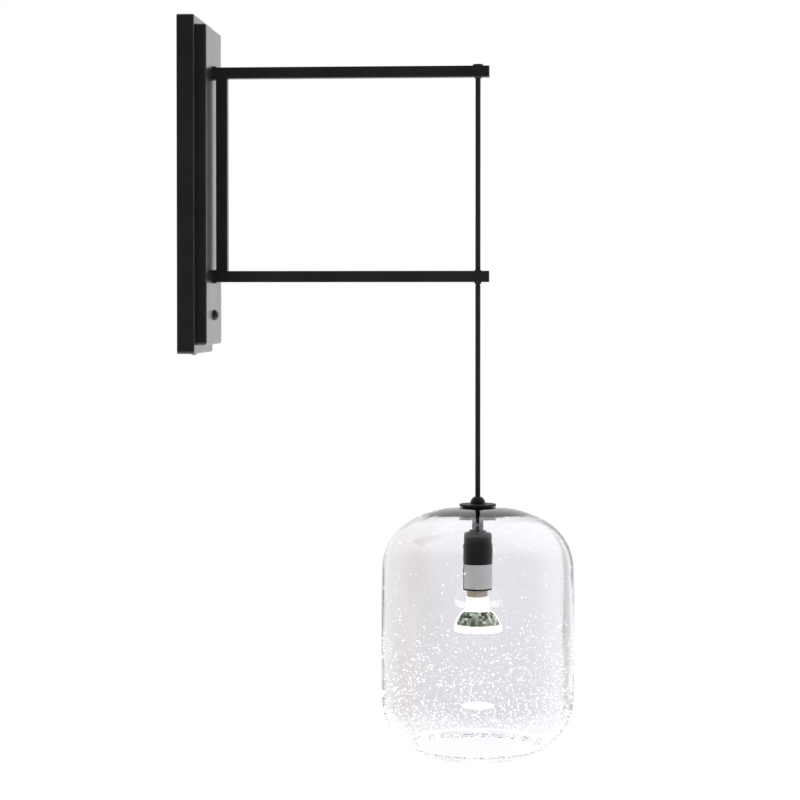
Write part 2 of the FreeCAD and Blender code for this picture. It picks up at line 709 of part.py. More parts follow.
def holder_bridge():
    """Bent steel strip that hangs the lampholder from the threaded tube."""
    top = SOCKET_Z - CAP_WALL
    foot = HOLDER_FACE_Z + HOLDER_HEIGHT
    half_x = BRIDGE_WIDTH / 2
    x0 = AXIS_X - half_x
    x1 = AXIS_X + half_x
    strip = block(x0, x1, -BRIDGE_HALF_Y, BRIDGE_HALF_Y, top - BRIDGE_T, top)
    strip = strip.cut(rod_z(ROD_R, top - 3, top + 1))
    for side in (1, -1):
        leg_y = sorted([side * BRIDGE_HALF_Y, side * (BRIDGE_HALF_Y - BRIDGE_T)])
        toe_y = sorted([side * BRIDGE_HALF_Y, side * (BRIDGE_SCREW_Y - 3.0)])
        strip = strip.fuse(block(x0, x1, *leg_y, foot, top))
        toe = block(x0, x1, *toe_y, foot, foot + BRIDGE_T)
        strip = strip.fuse(toe.cut(rod_z(1.5, foot - 1, foot + 2, AXIS_X, side * BRIDGE_SCREW_Y)))
    return strip.removeSplitter()


def holder_screws():
    """Two screws through the bridge's feet into the lampholder."""
    screw = pan_screw(2.6, 1.8, 1.5, 7.0)
    top = HOLDER_FACE_Z + HOLDER_HEIGHT + BRIDGE_T
    return [moved(screw, AXIS_X, side * BRIDGE_SCREW_Y, top) for side in (1, -1)]


def arc_slot(half_width, start, sweep, z_low, z_high):
    """A slot that follows the lamp pins' circle, with round ends."""
    height = z_high - z_low
    base = V(0, 0, z_low)
    outer = Part.makeCylinder(PIN_SPREAD + half_width, height, base, UP, sweep)
    band = outer.cut(Part.makeCylinder(PIN_SPREAD - half_width, height, base, UP, 360))
    for angle in (0, sweep):
        a = math.radians(angle)
        end = V(PIN_SPREAD * math.cos(a), PIN_SPREAD * math.sin(a), z_low)
        band = band.fuse(Part.makeCylinder(half_width, height, end, UP))
    return moved(turned(band, UP, start), AXIS_X, 0, 0)


CAVITY_LOW = LAMP_TOP_Z + PIN_LENGTH - BODY_GAP
CAVITY_HIGH = LAMP_TOP_Z + PIN_LENGTH + PIN_HEAD_T + 2.4
CONTACT_T = 0.8


def lampholder():
    """Ceramic lampholder with two keyhole slots that lock the lamp by a twist."""
    solid = rod_z(HOLDER_R, HOLDER_FACE_Z, HOLDER_FACE_Z + HOLDER_HEIGHT)
    solid = solid.makeChamfer(0.6, [e for e in solid.Edges if e.BoundBox.DiagonalLength > HOLDER_R])
    for half_turn in (0, 180):
        start = half_turn - LOCK_ANGLE
        narrow = arc_slot(PIN_R + 0.35, start, LOCK_ANGLE, HOLDER_FACE_Z - 1, CAVITY_LOW + 0.5)
        entry = arc_slot(PIN_HEAD_R + 0.4, start, 2.0, HOLDER_FACE_Z - 1, CAVITY_LOW + 0.5)
        cavity = arc_slot(PIN_HEAD_R + 0.4, start, LOCK_ANGLE, CAVITY_LOW, CAVITY_HIGH)
        solid = solid.cut(narrow).cut(entry).cut(cavity)
    for side in (1, -1):
        top = HOLDER_FACE_Z + HOLDER_HEIGHT
        solid = solid.cut(rod_z(1.5, top - 6.5, top + 1, AXIS_X, side * BRIDGE_SCREW_Y))
    return solid


def lampholder_contacts():
    """A brass contact in the top of each slot's cavity."""
    return [arc_slot(PIN_HEAD_R, half_turn - LOCK_ANGLE, LOCK_ANGLE, CAVITY_HIGH - CONTACT_T, CAVITY_HIGH)
            for half_turn in (0, 180)]


def socket_label():
    """Blank paper label wrapped round the sleeve's lower half."""
    z_low = SOCKET_END_Z + LABEL_LIFT
    outer = Part.makeCylinder(SOCKET_SLEEVE_R + LABEL_T, LABEL_HEIGHT, V(0, 0, z_low), UP, LABEL_SPAN)
    inner = Part.makeCylinder(SOCKET_SLEEVE_R, LABEL_HEIGHT + 2, V(0, 0, z_low - 1), UP, 360)
    return moved(turned(outer.cut(inner), UP, LABEL_START), AXIS_X, 0, 0)


# ---------------------------------------------------------------- glass shade

def heading(degrees):
    """Direction of travel along the outline: 0 is outwards, 90 is straight down."""
    a = math.radians(degrees)
    return V(math.cos(a), 0, -math.sin(a))


def outward(degrees):
    """The glass's outward side, square to that direction."""
    a = math.radians(degrees)
    return V(math.sin(a), 0, math.cos(a))


class Bow:
    """One arc of the outline, bent downwards, from one heading to another."""

    def __init__(self, centre, radius, start, end):
        self.centre = centre
        self.radius = radius
        self.start = start
        self.end = end

    def point(self, degrees):
        return self.centre + outward(degrees) * self.radius

    def edge(self):
        middle = (self.start + self.end) / 2
        return Part.Arc(self.point(self.start), self.point(middle), self.point(self.end)).toShape()

    def inset(self, amount):
        return Bow(self.centre, self.radius - amount, self.start, self.end)


def chain_of_bows(start, turns):
    """Arcs one after another, each tangent to the last."""
    bows = []
    at = 0.0
    point = start
    for radius, turn in turns:
        bow = Bow(point - outward(at) * radius, radius, at, at + turn)
        bows.append(bow)
        point = bow.point(bow.end)
        at = bow.end
    return bows


def inner_crown(crown):
    """One arc that thins the wall, from the thick flat top to the crown's lower end."""
    end = crown.point(crown.end) - outward(crown.end) * GLASS_WALL
    low = GLASS_Z - GLASS_TOP_T
    turn = math.radians(crown.end)
    radius = (low - end.z) / (1 - math.cos(turn))
    start_r = end.x - radius * math.sin(turn)
    return Bow(V(start_r, 0, low - radius), radius, 0, crown.end)


def lip_fillet(foot, lip_centre):
    """Hollow arc that joins the inside of the foot to the rounded lip."""
    from_foot = foot.radius - LIP_FILLET_R
    from_lip = LIP_R + LIP_FILLET_R
    across = lip_centre - foot.centre
    gap = across.Length
    along = (from_foot ** 2 - from_lip ** 2 + gap ** 2) / (2 * gap)
    off = math.sqrt(from_foot ** 2 - along ** 2)
    unit = V(across.x, 0, across.z).normalize()
    side = V(-unit.z, 0, unit.x)
    options = [foot.centre + unit * along + side * s * off for s in (1, -1)]
    centre = max(options, key=lambda p: p.x)
    on_foot = foot.centre + (centre - foot.centre).normalize() * foot.radius
    on_lip = lip_centre + (centre - lip_centre).normalize() * LIP_R
    between = ((on_foot - centre).normalize() + (on_lip - centre).normalize()).normalize()
    return on_foot, centre + between * LIP_FILLET_R, on_lip


def glass_shade():
    """Blown shade: thick flat top, thin barrel, and a rounded lip round the open bottom."""
    outer = chain_of_bows(V(CROWN_START_R, 0, GLASS_Z), [CROWN, SHOULDER, BARREL, HIP, FOOT])
    last = outer[-1]
    lip_start = last.point(last.end)
    lip_centre = lip_start - outward(last.end) * LIP_R
    crown = inner_crown(outer[0])
    shoulder, barrel, hip, foot = [bow.inset(GLASS_WALL) for bow in outer[1:]]
    on_foot, fillet_middle, on_lip = lip_fillet(foot, lip_centre)
    reach = on_foot - foot.centre
    foot_end = math.degrees(math.atan2(reach.x, reach.z))
    foot = Bow(foot.centre, foot.radius, foot.start, foot_end)
    lip_middle = lip_centre + ((lip_start - lip_centre) + (on_lip - lip_centre)).normalize() * -LIP_R
    hole_top = V(GLASS_HOLE_R, 0, GLASS_Z)
    hole_low = V(GLASS_HOLE_R, 0, GLASS_Z - GLASS_TOP_T)
    edges = [Part.makeLine(hole_top, V(CROWN_START_R, 0, GLASS_Z))]
    edges += [bow.edge() for bow in outer]
    edges.append(Part.Arc(lip_start, lip_middle, on_lip).toShape())
    edges.append(Part.Arc(on_lip, fillet_middle, on_foot).toShape())
    edges += [bow.edge() for bow in (foot, hip, barrel, shoulder, crown)]
    edges.append(Part.makeLine(crown.point(0), hole_low))
    edges.append(Part.makeLine(hole_low, hole_top))
    print("shade mouth radius", round(lip_centre.x - LIP_R, 2), "lowest", round(lip_centre.z - LIP_R, 2),
          "widest", round(max(bow.point(90).x for bow in outer if bow.start <= 90 <= bow.end), 2))
    return spin_about_axis(Part.Wire(Part.__sortEdges__(edges)).Edges)


# ---------------------------------------------------------------- lamp

NECK_Z = LAMP_TOP_Z - LAMP_BASE_HEIGHT
REFLECTOR_T = 1.4
CAPSULE_R = 4.5
CAPSULE_LENGTH = 24.5
RIM_Z = LAMP_FRONT_Z + 6.7
RIM_STEP = 0.6
FLARE_Z = NECK_Z - 12.0
FLARE_MIDDLE_R = 19.5
FLARE_MIDDLE_DROP = 7.6


def bulb_base():
    """Ceramic base of the lamp."""
    solid = rod_z(LAMP_BASE_R, NECK_Z, LAMP_TOP_Z)
    top = [e for e in solid.Edges if e.BoundBox.ZMin > LAMP_TOP_Z - 0.5]
    return solid.makeFillet(1.0, top)


def bulb_pins():
    """Two mushroom pins."""
    pins = []
    for side in (1, -1):
        x = AXIS_X + side * PIN_SPREAD
        neck = LAMP_TOP_Z + PIN_LENGTH
        pins.append(rod_z(PIN_R, LAMP_TOP_Z, neck, x).fuse(rod_z(PIN_HEAD_R, neck, neck + PIN_HEAD_T, x)))
    return pins


def bulb_reflector():
    """Glass reflector that flares from a straight neck to the front rim."""
    neck_r = LAMP_BASE_R + 0.2
    flare_r = LAMP_R - RIM_STEP
    t = REFLECTOR_T
    middle = FLARE_Z - FLARE_MIDDLE_DROP
    outside = Part.Arc(V(neck_r, 0, FLARE_Z), V(FLARE_MIDDLE_R, 0, middle),
                       V(flare_r, 0, RIM_Z)).toShape()
    inside = Part.Arc(V(flare_r - t, 0, RIM_Z), V(FLARE_MIDDLE_R - t, 0, middle - 1.0),
                      V(neck_r - t, 0, FLARE_Z - 1.0)).toShape()
    neck_out = [V(neck_r, 0, NECK_Z), V(neck_r, 0, FLARE_Z)]
    rim = [V(flare_r, 0, RIM_Z), V(LAMP_R, 0, RIM_Z), V(LAMP_R, 0, LAMP_FRONT_Z),
           V(LAMP_R - t, 0, LAMP_FRONT_Z), V(LAMP_R - t, 0, RIM_Z), V(flare_r - t, 0, RIM_Z)]
    neck_in = [V(neck_r - t, 0, FLARE_Z - 1.0), V(neck_r - t, 0, NECK_Z), V(neck_r, 0, NECK_Z)]
    lines = [Part.makeLine(a, b) for group in (neck_out, rim, neck_in)
             for a, b in zip(group, group[1:])]
    return spin_about_axis(Part.__sortEdges__(lines + [outside, inside]))


def bulb_capsule():
    """Small inner capsule on the lamp's axis."""
    capsule = domed(CAPSULE_R, CAPSULE_LENGTH - CAPSULE_R, CAPSULE_LENGTH)
    return moved(turned(capsule, TO_FRONT, 180), AXIS_X, 0, NECK_Z)


def bulb_lens():
    """Front glass of the lamp, inside the rim."""
    return rod_z(LAMP_R - REFLECTOR_T, LAMP_FRONT_Z + 0.5, LAMP_FRONT_Z + 2.7)


# ---------------------------------------------------------------- write every piece

PIECES = {
    "wall_bracket": wall_bracket(),
    "outer_canopy": outer_canopy(),
    "inner_canopy": inner_canopy(),
    "tier_screws": tier_screws(),
    "cover_stud": cover_stud(),
    "cover_nut": cover_nut(),
    "canopy_screw": canopy_screw(),
    "earth_screw": earth_screw(),
    "terminal_block": terminal_block(),
    "terminal_screws": terminal_screws(),
    "upper_arm": upper_arm(),
    "lower_arm": lower_arm(),
    "back_post": back_post(),
    "upper_root_plate": root_plate(UPPER_ARM_Z),
    "lower_root_plate": root_plate(LOWER_ARM_Z),
    "upper_end_cap": end_cap(UPPER_ARM_Z),
    "lower_end_cap": end_cap(LOWER_ARM_Z),
    "arm_plugs": arm_plugs(),
    "arm_studs": arm_studs(),
    "arm_stud_nuts": arm_stud_nuts(),
    "cord_bush": cord_bush(),
    "cord_clamp_screw": cord_clamp_screw(),
    "upper_ferrule": upper_ferrule(),
    "lower_bushing": lower_bushing(),
    "cord_inside": cord_inside(),
    "cord_between_arms": cord_between_arms(),
    "cord_bend": cord_bend(),
    "cord_drop": cord_drop(),
    "cord_tail": cord_tail(),
    "cord_grip": cord_grip(),
    "upper_disc": disc(UPPER_DISC_Z, UPPER_DISC_T),
    "lower_disc": disc(LOWER_DISC_Z, LOWER_DISC_T),
    "shade_gaskets": shade_gaskets(),
    "threaded_tube": threaded_tube(),
    "coupler": coupler(),
    "coupler_set_screw": coupler_set_screw(),
    "socket_collar": socket_collar(),
    "socket_cap": socket_cap(),
    "socket_sleeve": socket_sleeve(),
    "tube_locknut": tube_locknut(),
    "holder_bridge": holder_bridge(),
    "holder_screws": holder_screws(),
    "lampholder": lampholder(),
    "lampholder_contacts": lampholder_contacts(),
    "socket_label": socket_label(),
    "glass_shade": glass_shade(),
    "bulb_base": bulb_base(),
    "bulb_pins": bulb_pins(),
    "bulb_reflector": bulb_reflector(),
    "bulb_capsule": bulb_capsule(),
    "bulb_lens": bulb_lens(),
}

for name, piece in PIECES.items():
    shape = Part.makeCompound(piece) if isinstance(piece, list) else piece
    if not shape.isValid() or min(solid.Volume for solid in shape.Solids) <= 0:
        print("check this piece:", name)
    shape.exportStep("parts/" + name + ".step")

print("pieces", len(PIECES), "pivot height", PIVOT_Z, "glass top", GLASS_Z,
      "lamp front", round(LAMP_FRONT_Z, 2))
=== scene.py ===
import bpy
import bmesh
import json
import math
import random
from mathutils import Matrix, Vector, noise


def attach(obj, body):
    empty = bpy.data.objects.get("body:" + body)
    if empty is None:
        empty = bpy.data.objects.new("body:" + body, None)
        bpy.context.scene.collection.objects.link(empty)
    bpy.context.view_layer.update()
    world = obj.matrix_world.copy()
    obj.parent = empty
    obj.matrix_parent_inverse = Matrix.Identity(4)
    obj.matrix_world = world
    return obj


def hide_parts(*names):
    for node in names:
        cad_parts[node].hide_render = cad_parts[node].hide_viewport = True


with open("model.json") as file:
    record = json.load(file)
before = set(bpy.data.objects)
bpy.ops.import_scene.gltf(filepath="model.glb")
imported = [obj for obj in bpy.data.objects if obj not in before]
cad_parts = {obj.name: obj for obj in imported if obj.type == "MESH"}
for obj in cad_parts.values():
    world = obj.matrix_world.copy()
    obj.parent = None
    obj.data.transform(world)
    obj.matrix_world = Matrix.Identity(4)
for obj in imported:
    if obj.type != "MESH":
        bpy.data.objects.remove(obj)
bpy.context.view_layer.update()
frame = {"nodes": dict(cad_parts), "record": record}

# Everything is in metres in the shared frame: the wall is X = 0, the arms run along +X, and Z is up.
# Named lengths, radii and heights that aren't multiplied by MM are in millimetres.
MM = 0.001
AXIS_X = 312 * MM


# ---------------------------------------------------------------- camera

# Fitted to the photograph: its side, the focal length and the horizon in pixels.
PHOTO_SIDE = 800.0
FOCAL_PX = 2303.1
HORIZON_PX = 346.7
CAMERA_AT = Vector((409.5, -2445.1, -123.6)) * MM
CAMERA_YAW = math.radians(4.22)
CAMERA_PITCH = math.radians(1.1)


def make_camera():
    """Camera at the photograph's viewing angle."""
    data = bpy.data.cameras.new("camera")
    data.sensor_width = 36.0
    data.lens = data.sensor_width * FOCAL_PX / PHOTO_SIDE
    data.shift_y = -(PHOTO_SIDE / 2 - HORIZON_PX) / PHOTO_SIDE
    data.clip_start = 0.05
    data.clip_end = 60.0
    camera = bpy.data.objects.new("camera", data)
    bpy.context.scene.collection.objects.link(camera)
    looking = Vector((-math.sin(CAMERA_YAW) * math.cos(CAMERA_PITCH),
                      math.cos(CAMERA_YAW) * math.cos(CAMERA_PITCH),
                      -math.sin(CAMERA_PITCH)))
    camera.location = CAMERA_AT
    camera.rotation_mode = "QUATERNION"
    camera.rotation_quaternion = looking.to_track_quat("-Z", "Y")
    bpy.context.scene.camera = camera


make_camera()


# ---------------------------------------------------------------- cords

CORD_DIAMETER = 5.5 * MM
FERRULE_Z = 113.5
UPPER_CORD_END_Z = -102.2
DROP_TOP_Z = -105.5
GRIP_TOP_Z = -330.1
TAIL_END_Z = -390.0
BEND_R = 2.5
BEND_Z = -105.0
# From the terminal block up behind the canopy, along the upper arm and down to its outlet, as (X, Z).
HIDDEN_ROUTE = ((8.5, 84.0), (8.5, 121.0), (20.0, 121.0), (300.0, 121.0), (312.0, 121.0), (312.0, 113.5))


def cord_curve(name, points):
    """A cord through given (X, Z) points in millimetres, in the plane Y = 0.

    The thickness is set by each point's radius, so that Blender's box of the curve is its true one.
    """
    curve = bpy.data.curves.new(name, "CURVE")
    curve.dimensions = "3D"
    spline = curve.splines.new("NURBS")
    spline.points.add(len(points) - 1)
    for point, (x, z) in zip(spline.points, points):
        point.co = (x * MM, 0.0, z * MM, 1.0)
        point.radius = CORD_DIAMETER / 2
    spline.order_u = 3
    spline.use_endpoint_u = True
    curve.resolution_u = 12
    curve.bevel_depth = 1.0
    curve.bevel_resolution = 8
    curve.use_fill_caps = True
    cord = bpy.data.objects.new(name, curve)
    bpy.context.scene.collection.objects.link(cord)
    return cord


def down_the_axis(heights):
    return [(AXIS_X / MM, z) for z in heights]


upper_cord = cord_curve("taut_cord", down_the_axis((FERRULE_Z, 50.0, -50.0, UPPER_CORD_END_Z)))
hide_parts("cord_between_arms")
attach(upper_cord, "fixture")

drop_cord = cord_curve("pendant_cord", down_the_axis((DROP_TOP_Z, -160.0, -270.0, GRIP_TOP_Z)))
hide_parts("cord_drop")
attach(drop_cord, "cord_drop")

hidden_cord = cord_curve("cord_in_arm", HIDDEN_ROUTE)
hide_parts("cord_inside")
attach(hidden_cord, "fixture")

tail_cord = cord_curve("cord_in_socket", down_the_axis((GRIP_TOP_Z, -345.0, -375.0, TAIL_END_Z)))
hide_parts("cord_tail")
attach(tail_cord, "pendant")


def bending_bit():
    """The short bit of cord at the mouth of the lower bushing: a ball of the cord's own sheath."""
    shape = bmesh.new()
    bmesh.ops.create_uvsphere(shape, u_segments=32, v_segments=20, radius=BEND_R * MM)
    for corner in shape.verts:
        corner.co += Vector((AXIS_X, 0.0, BEND_Z * MM))
    for face in shape.faces:
        face.smooth = True
    mesh = bpy.data.meshes.new("cord_at_bushing")
    shape.to_mesh(mesh)
    shape.free()
    made = bpy.data.objects.new("cord_at_bushing", mesh)
    bpy.context.scene.collection.objects.link(made)
    return made


bend = bending_bit()
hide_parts("cord_bend")
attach(bend, "cord_bend")


# ---------------------------------------------------------------- node helpers

def new_material(name):
    """A material with an output and nothing else."""
    material = bpy.data.materials.new(name)
    material.use_nodes = True
    tree = material.node_tree
    tree.nodes.clear()
    out = tree.nodes.new("ShaderNodeOutputMaterial")
    return material, tree, out


def node(tree, kind, inputs=None, **settings):
    """Adds a node, with its settings and its input values or links."""
    made = tree.nodes.new(kind)
    for key, value in settings.items():
        setattr(made, key, value)
    for key, value in (inputs or {}).items():
        if isinstance(value, bpy.types.NodeSocket):
            tree.links.new(value, made.inputs[key])
        else:
            made.inputs[key].default_value = value
    return made


def rgba(colour):
    return (colour[0], colour[1], colour[2], 1.0)


def object_point(tree, stretch=(1.0, 1.0, 1.0)):
    """Position on the piece in the shared frame, optionally stretched."""
    place = node(tree, "ShaderNodeTexCoord")
    mapping = node(tree, "ShaderNodeMapping", {"Vector": place.outputs["Object"], "Scale": stretch})
    return mapping.outputs["Vector"]


def noise_value(tree, point, scale, detail=2.0, roughness=0.5):
    """Noise from 0 to 1. Scale is in waves per metre, so 500 gives marks of about 2 mm."""
    found = node(tree, "ShaderNodeTexNoise",
                 {"Vector": point, "Scale": scale, "Detail": detail, "Roughness": roughness})
    return found.outputs["Fac"]


def remap(tree, value, low, high, new_low, new_high):
    """Moves the range low to high onto new_low to new_high, and holds it there."""
    found = node(tree, "ShaderNodeMapRange",
                 {"Value": value, "From Min": low, "From Max": high, "To Min": new_low, "To Max": new_high})
    return found.outputs["Result"]


def mix_colours(tree, value, low, high):
    """Mix of two colours by a value; sockets are picked by type because a mix node has several."""
    made = tree.nodes.new("ShaderNodeMix")
    made.data_type = "RGBA"
    tree.links.new(value, made.inputs[0])
    made.inputs[6].default_value = rgba(low)
    made.inputs[7].default_value = rgba(high)
    return made.outputs[2]


def calc(tree, operation, first, second):
    """Result of one operation on two values."""
    return node(tree, "ShaderNodeMath", {0: first, 1: second}, operation=operation).outputs[0]


def place_parts(tree):
    """X, Y and Z of the point on the piece."""
    place = node(tree, "ShaderNodeTexCoord")
    return node(tree, "ShaderNodeSeparateXYZ", {"Vector": place.outputs["Object"]}).outputs


def angle_round_axis(tree, parts):
    """Angle of the point round the pendant's axis."""
    return calc(tree, "ARCTAN2", parts["Y"], calc(tree, "SUBTRACT", parts["X"], AXIS_X))


def colour_ramp(tree, value, stops):
    """Colours by value, from stops of (position, colour)."""
    ramp = node(tree, "ShaderNodeValToRGB", {"Fac": value})
    while len(ramp.color_ramp.elements) < len(stops):
        ramp.color_ramp.elements.new(0.5)
    for element, (position, colour) in zip(ramp.color_ramp.elements, stops):
        element.position = position
        element.color = rgba(colour)
    return ramp.outputs["Color"]


def bump(tree, height, strength, distance):
    """Unevenness too fine for the mesh. Distance is in metres."""
    return node(tree, "ShaderNodeBump",
                {"Height": height, "Strength": strength, "Distance": distance}).outputs["Normal"]


# ---------------------------------------------------------------- materials

PEEL_MM = 0.9


def powder_coat(name, colour, lighter, rough=(0.36, 0.48), coat=0.0):
    """Satin powder coat: fine orange peel, with slow drifts in tone and gloss."""
    material, tree, out = new_material(name)
    point = object_point(tree)
    peel = noise_value(tree, point, 1.0 / (PEEL_MM * MM), 3.0, 0.6)
    drift = noise_value(tree, point, 18.0, 4.0, 0.6)
    dust = noise_value(tree, point, 420.0, 2.0, 0.7)
    tone = mix_colours(tree, remap(tree, drift, 0.35, 0.65, 0.0, 1.0), colour, lighter)
    gloss = remap(tree, calc(tree, "MULTIPLY", drift, dust), 0.15, 0.4, rough[0], rough[1])
    shader = node(tree, "ShaderNodeBsdfPrincipled",
                  {"Base Color": tone, "Roughness": gloss, "Specular IOR Level": 0.5,
                   "Specular Tint": (1.0, 0.95, 0.96, 1.0), "Coat Weight": coat, "Coat Roughness": 0.22,
                   "Normal": bump(tree, peel, 0.2, 0.0002)})
    tree.links.new(shader.outputs[0], out.inputs["Surface"])
    return material


def plain_metal(name, colour, lighter):
    """Zinc or brass: faint directional marks and cloudy patches."""
    material, tree, out = new_material(name)
    marks = noise_value(tree, object_point(tree, (1.0, 1.0, 12.0)), 260.0, 3.0, 0.6)
    patches = noise_value(tree, object_point(tree), 90.0, 3.0, 0.6)
    tone = mix_colours(tree, remap(tree, patches, 0.35, 0.7, 0.0, 1.0), colour, lighter)
    shader = node(tree, "ShaderNodeBsdfPrincipled",
                  {"Base Color": tone, "Metallic": 1.0,
                   "Roughness": remap(tree, marks, 0.3, 0.7, 0.25, 0.42),
                   "Normal": bump(tree, marks, 0.12, 0.0001)})
    tree.links.new(shader.outputs[0], out.inputs["Surface"])
    return material


def moulded(name, colour, lighter, rough=(0.4, 0.55), grain=700.0, strength=0.15):
    """Moulded plastic, rubber or ceramic: fine grain and slight mottling."""
    material, tree, out = new_material(name)
    point = object_point(tree)
    fine = noise_value(tree, point, grain, 3.0, 0.6)
    slow = noise_value(tree, point, 60.0, 3.0, 0.5)
    tone = mix_colours(tree, remap(tree, slow, 0.35, 0.65, 0.0, 1.0), colour, lighter)
    shader = node(tree, "ShaderNodeBsdfPrincipled",
                  {"Base Color": tone, "Roughness": remap(tree, fine, 0.3, 0.7, rough[0], rough[1]),
                   "Normal": bump(tree, fine, strength, 0.00015)})
    tree.links.new(shader.outputs[0], out.inputs["Surface"])
    return material


WEAVE_STRANDS = 12.0
WEAVE_CLIMB_PER_METRE = 6000.0


def cord_sheath(name):
    """Black cord: a tight woven sheath, drawn as two crossing spirals round the axis."""
    material, tree, out = new_material(name)
    parts = place_parts(tree)
    angle = angle_round_axis(tree, parts)
    climb = calc(tree, "MULTIPLY", parts["Z"], WEAVE_CLIMB_PER_METRE)
    spirals = []
    for direction in (1.0, -1.0):
        turns = calc(tree, "MULTIPLY", angle, WEAVE_STRANDS * direction)
        total = calc(tree, "ADD", turns, climb)
        spirals.append(node(tree, "ShaderNodeMath", {0: total}, operation="SINE").outputs[0])
    weave = calc(tree, "MAXIMUM", spirals[0], spirals[1])
    fuzz = noise_value(tree, object_point(tree), 900.0, 3.0, 0.7)
    height = calc(tree, "ADD", weave, fuzz)
    tone = mix_colours(tree, remap(tree, height, -0.5, 1.6, 0.0, 1.0), (0.006, 0.006, 0.006),
                       (0.013, 0.0127, 0.0125))
    shader = node(tree, "ShaderNodeBsdfPrincipled",
                  {"Base Color": tone, "Roughness": remap(tree, fuzz, 0.3, 0.7, 0.55, 0.75),
                   "Normal": bump(tree, height, 0.25, 0.00008)})
    tree.links.new(shader.outputs[0], out.inputs["Surface"])
    return material


def label_paper(name):
    """Blank white paper with a faint fibre grain."""
    material, tree, out = new_material(name)
    fibre = noise_value(tree, object_point(tree, (1.0, 1.0, 2.5)), 500.0, 4.0, 0.65)
    slow = noise_value(tree, object_point(tree), 45.0, 2.0, 0.5)
    tone = mix_colours(tree, remap(tree, slow, 0.3, 0.7, 0.0, 1.0), (0.74, 0.735, 0.74), (0.84, 0.83, 0.835))
    shader = node(tree, "ShaderNodeBsdfPrincipled",
                  {"Base Color": tone, "Roughness": remap(tree, fibre, 0.3, 0.7, 0.5, 0.65),
                   "Normal": bump(tree, fibre, 0.12, 0.0001)})
    tree.links.new(shader.outputs[0], out.inputs["Surface"])
    return material


# How much light one pass through the glass keeps, and how brightly a bubble in it glows with painted light.
GLASS_TINT = (0.955, 0.953, 0.965)
SEED_PAINTED_GLOW = 1.25


def shade_glass(name):
    """Clear blown glass: faint waves in the surface, and lamps shine through it."""
    material, tree, out = new_material(name)
    waves = noise_value(tree, object_point(tree, (1.0, 1.0, 0.35)), 55.0, 3.0, 0.55)
    glass = node(tree, "ShaderNodeBsdfPrincipled",
                 {"Base Color": rgba(GLASS_TINT), "Transmission Weight": 1.0, "IOR": 1.48, "Roughness": 0.0,
                  "Normal": bump(tree, waves, 0.25, 0.0004)})
    clear = node(tree, "ShaderNodeBsdfTransparent", {"Color": rgba(GLASS_TINT)})
    path = node(tree, "ShaderNodeLightPath")
    mixed = node(tree, "ShaderNodeMixShader", {0: path.outputs["Is Shadow Ray"], 1: glass.outputs[0],
                                               2: clear.outputs[0]})
    tree.links.new(mixed.outputs[0], out.inputs["Surface"])
    return material


def seed_material(name):
    """Tiny bubbles in the glass, white with a greyer rim: the white is a painted glow, and the greyer rim is
    painted shade that Layer Weight puts where a bubble is seen edge-on.
    """
    material, tree, out = new_material(name)
    cloud = noise_value(tree, object_point(tree), 240.0, 2.0, 0.5)
    tone = mix_colours(tree, cloud, (0.9, 0.89, 0.87), (1.0, 1.0, 1.0))
    # Painted glow: the bubbles emit light though they are no lamp, and less of it towards their rim, which
    # paints a darker edge.
    facing = node(tree, "ShaderNodeLayerWeight", {"Blend": 0.5}).outputs["Facing"]
    glow = remap(tree, facing, 0.45, 0.9, SEED_PAINTED_GLOW, 0.4 * SEED_PAINTED_GLOW)
    bead = node(tree, "ShaderNodeBsdfPrincipled",
                {"Base Color": tone, "Roughness": 0.25, "Emission Color": (1.0, 0.985, 0.965, 1.0),
                 "Emission Strength": glow})
    clear = node(tree, "ShaderNodeBsdfTransparent", {"Color": (1.0, 1.0, 1.0, 1.0)})
    path = node(tree, "ShaderNodeLightPath")
    mixed = node(tree, "ShaderNodeMixShader", {0: path.outputs["Is Shadow Ray"], 1: bead.outputs[0],
                                               2: clear.outputs[0]})
    tree.links.new(mixed.outputs[0], out.inputs["Surface"])
    material.cycles.emission_sampling = "NONE"
    return material


def glowing(name, colour, strength, rough=0.3):
    """A lit surface with a soft mottling in its own colour."""
    material, tree, out = new_material(name)
    mottle = noise_value(tree, object_point(tree), 300.0, 2.0, 0.5)
    tone = mix_colours(tree, mottle, (0.81, 0.81, 0.81), (0.9, 0.9, 0.9))
    shader = node(tree, "ShaderNodeBsdfPrincipled",
                  {"Base Color": tone, "Roughness": rough, "Emission Color": rgba(colour),
                   "Emission Strength": strength})
    tree.links.new(shader.outputs[0], out.inputs["Surface"])
    return material


MATERIALS = {
    "black_metal": powder_coat("satin_black_coat", (0.0115, 0.0102, 0.0115), (0.0155, 0.0140, 0.0155)),
    "black_socket": moulded("socket_black", (0.0022, 0.0022, 0.0024), (0.0040, 0.0040, 0.0042), (0.34, 0.46)),
    "zinc_steel": plain_metal("zinc_steel", (0.56, 0.56, 0.54), (0.68, 0.68, 0.67)),
    "brass": plain_metal("brass", (0.60, 0.42, 0.17), (0.76, 0.57, 0.27)),
    "black_cord": cord_sheath("cord_sheath"),
    "black_rubber": moulded("black_rubber", (0.010, 0.010, 0.010), (0.017, 0.017, 0.017), (0.6, 0.75)),
    "white_plastic": moulded("white_plastic", (0.70, 0.70, 0.67), (0.80, 0.80, 0.78), (0.4, 0.5)),
    "black_plastic": moulded("black_plastic", (0.012, 0.012, 0.012), (0.02, 0.02, 0.02)),
    "holder_ceramic": moulded("ceramic", (0.66, 0.57, 0.44), (0.78, 0.70, 0.58), (0.5, 0.65), 350.0, 0.2),
    "label_paper": label_paper("label_paper"),
    "seeded_glass": shade_glass("seeded_glass"),
    "lamp_capsule": glowing("lamp_capsule", (1.0, 0.93, 0.82), 30.0),
    "lamp_lens": glowing("lamp_lens", (1.0, 0.97, 0.92), 14.0, rough=0.1),
}
CANOPY_COAT = powder_coat("canopy_satin_coat", (0.0125, 0.0108, 0.0125), (0.0165, 0.0145, 0.0165),
                          (0.28, 0.36), 0.3)
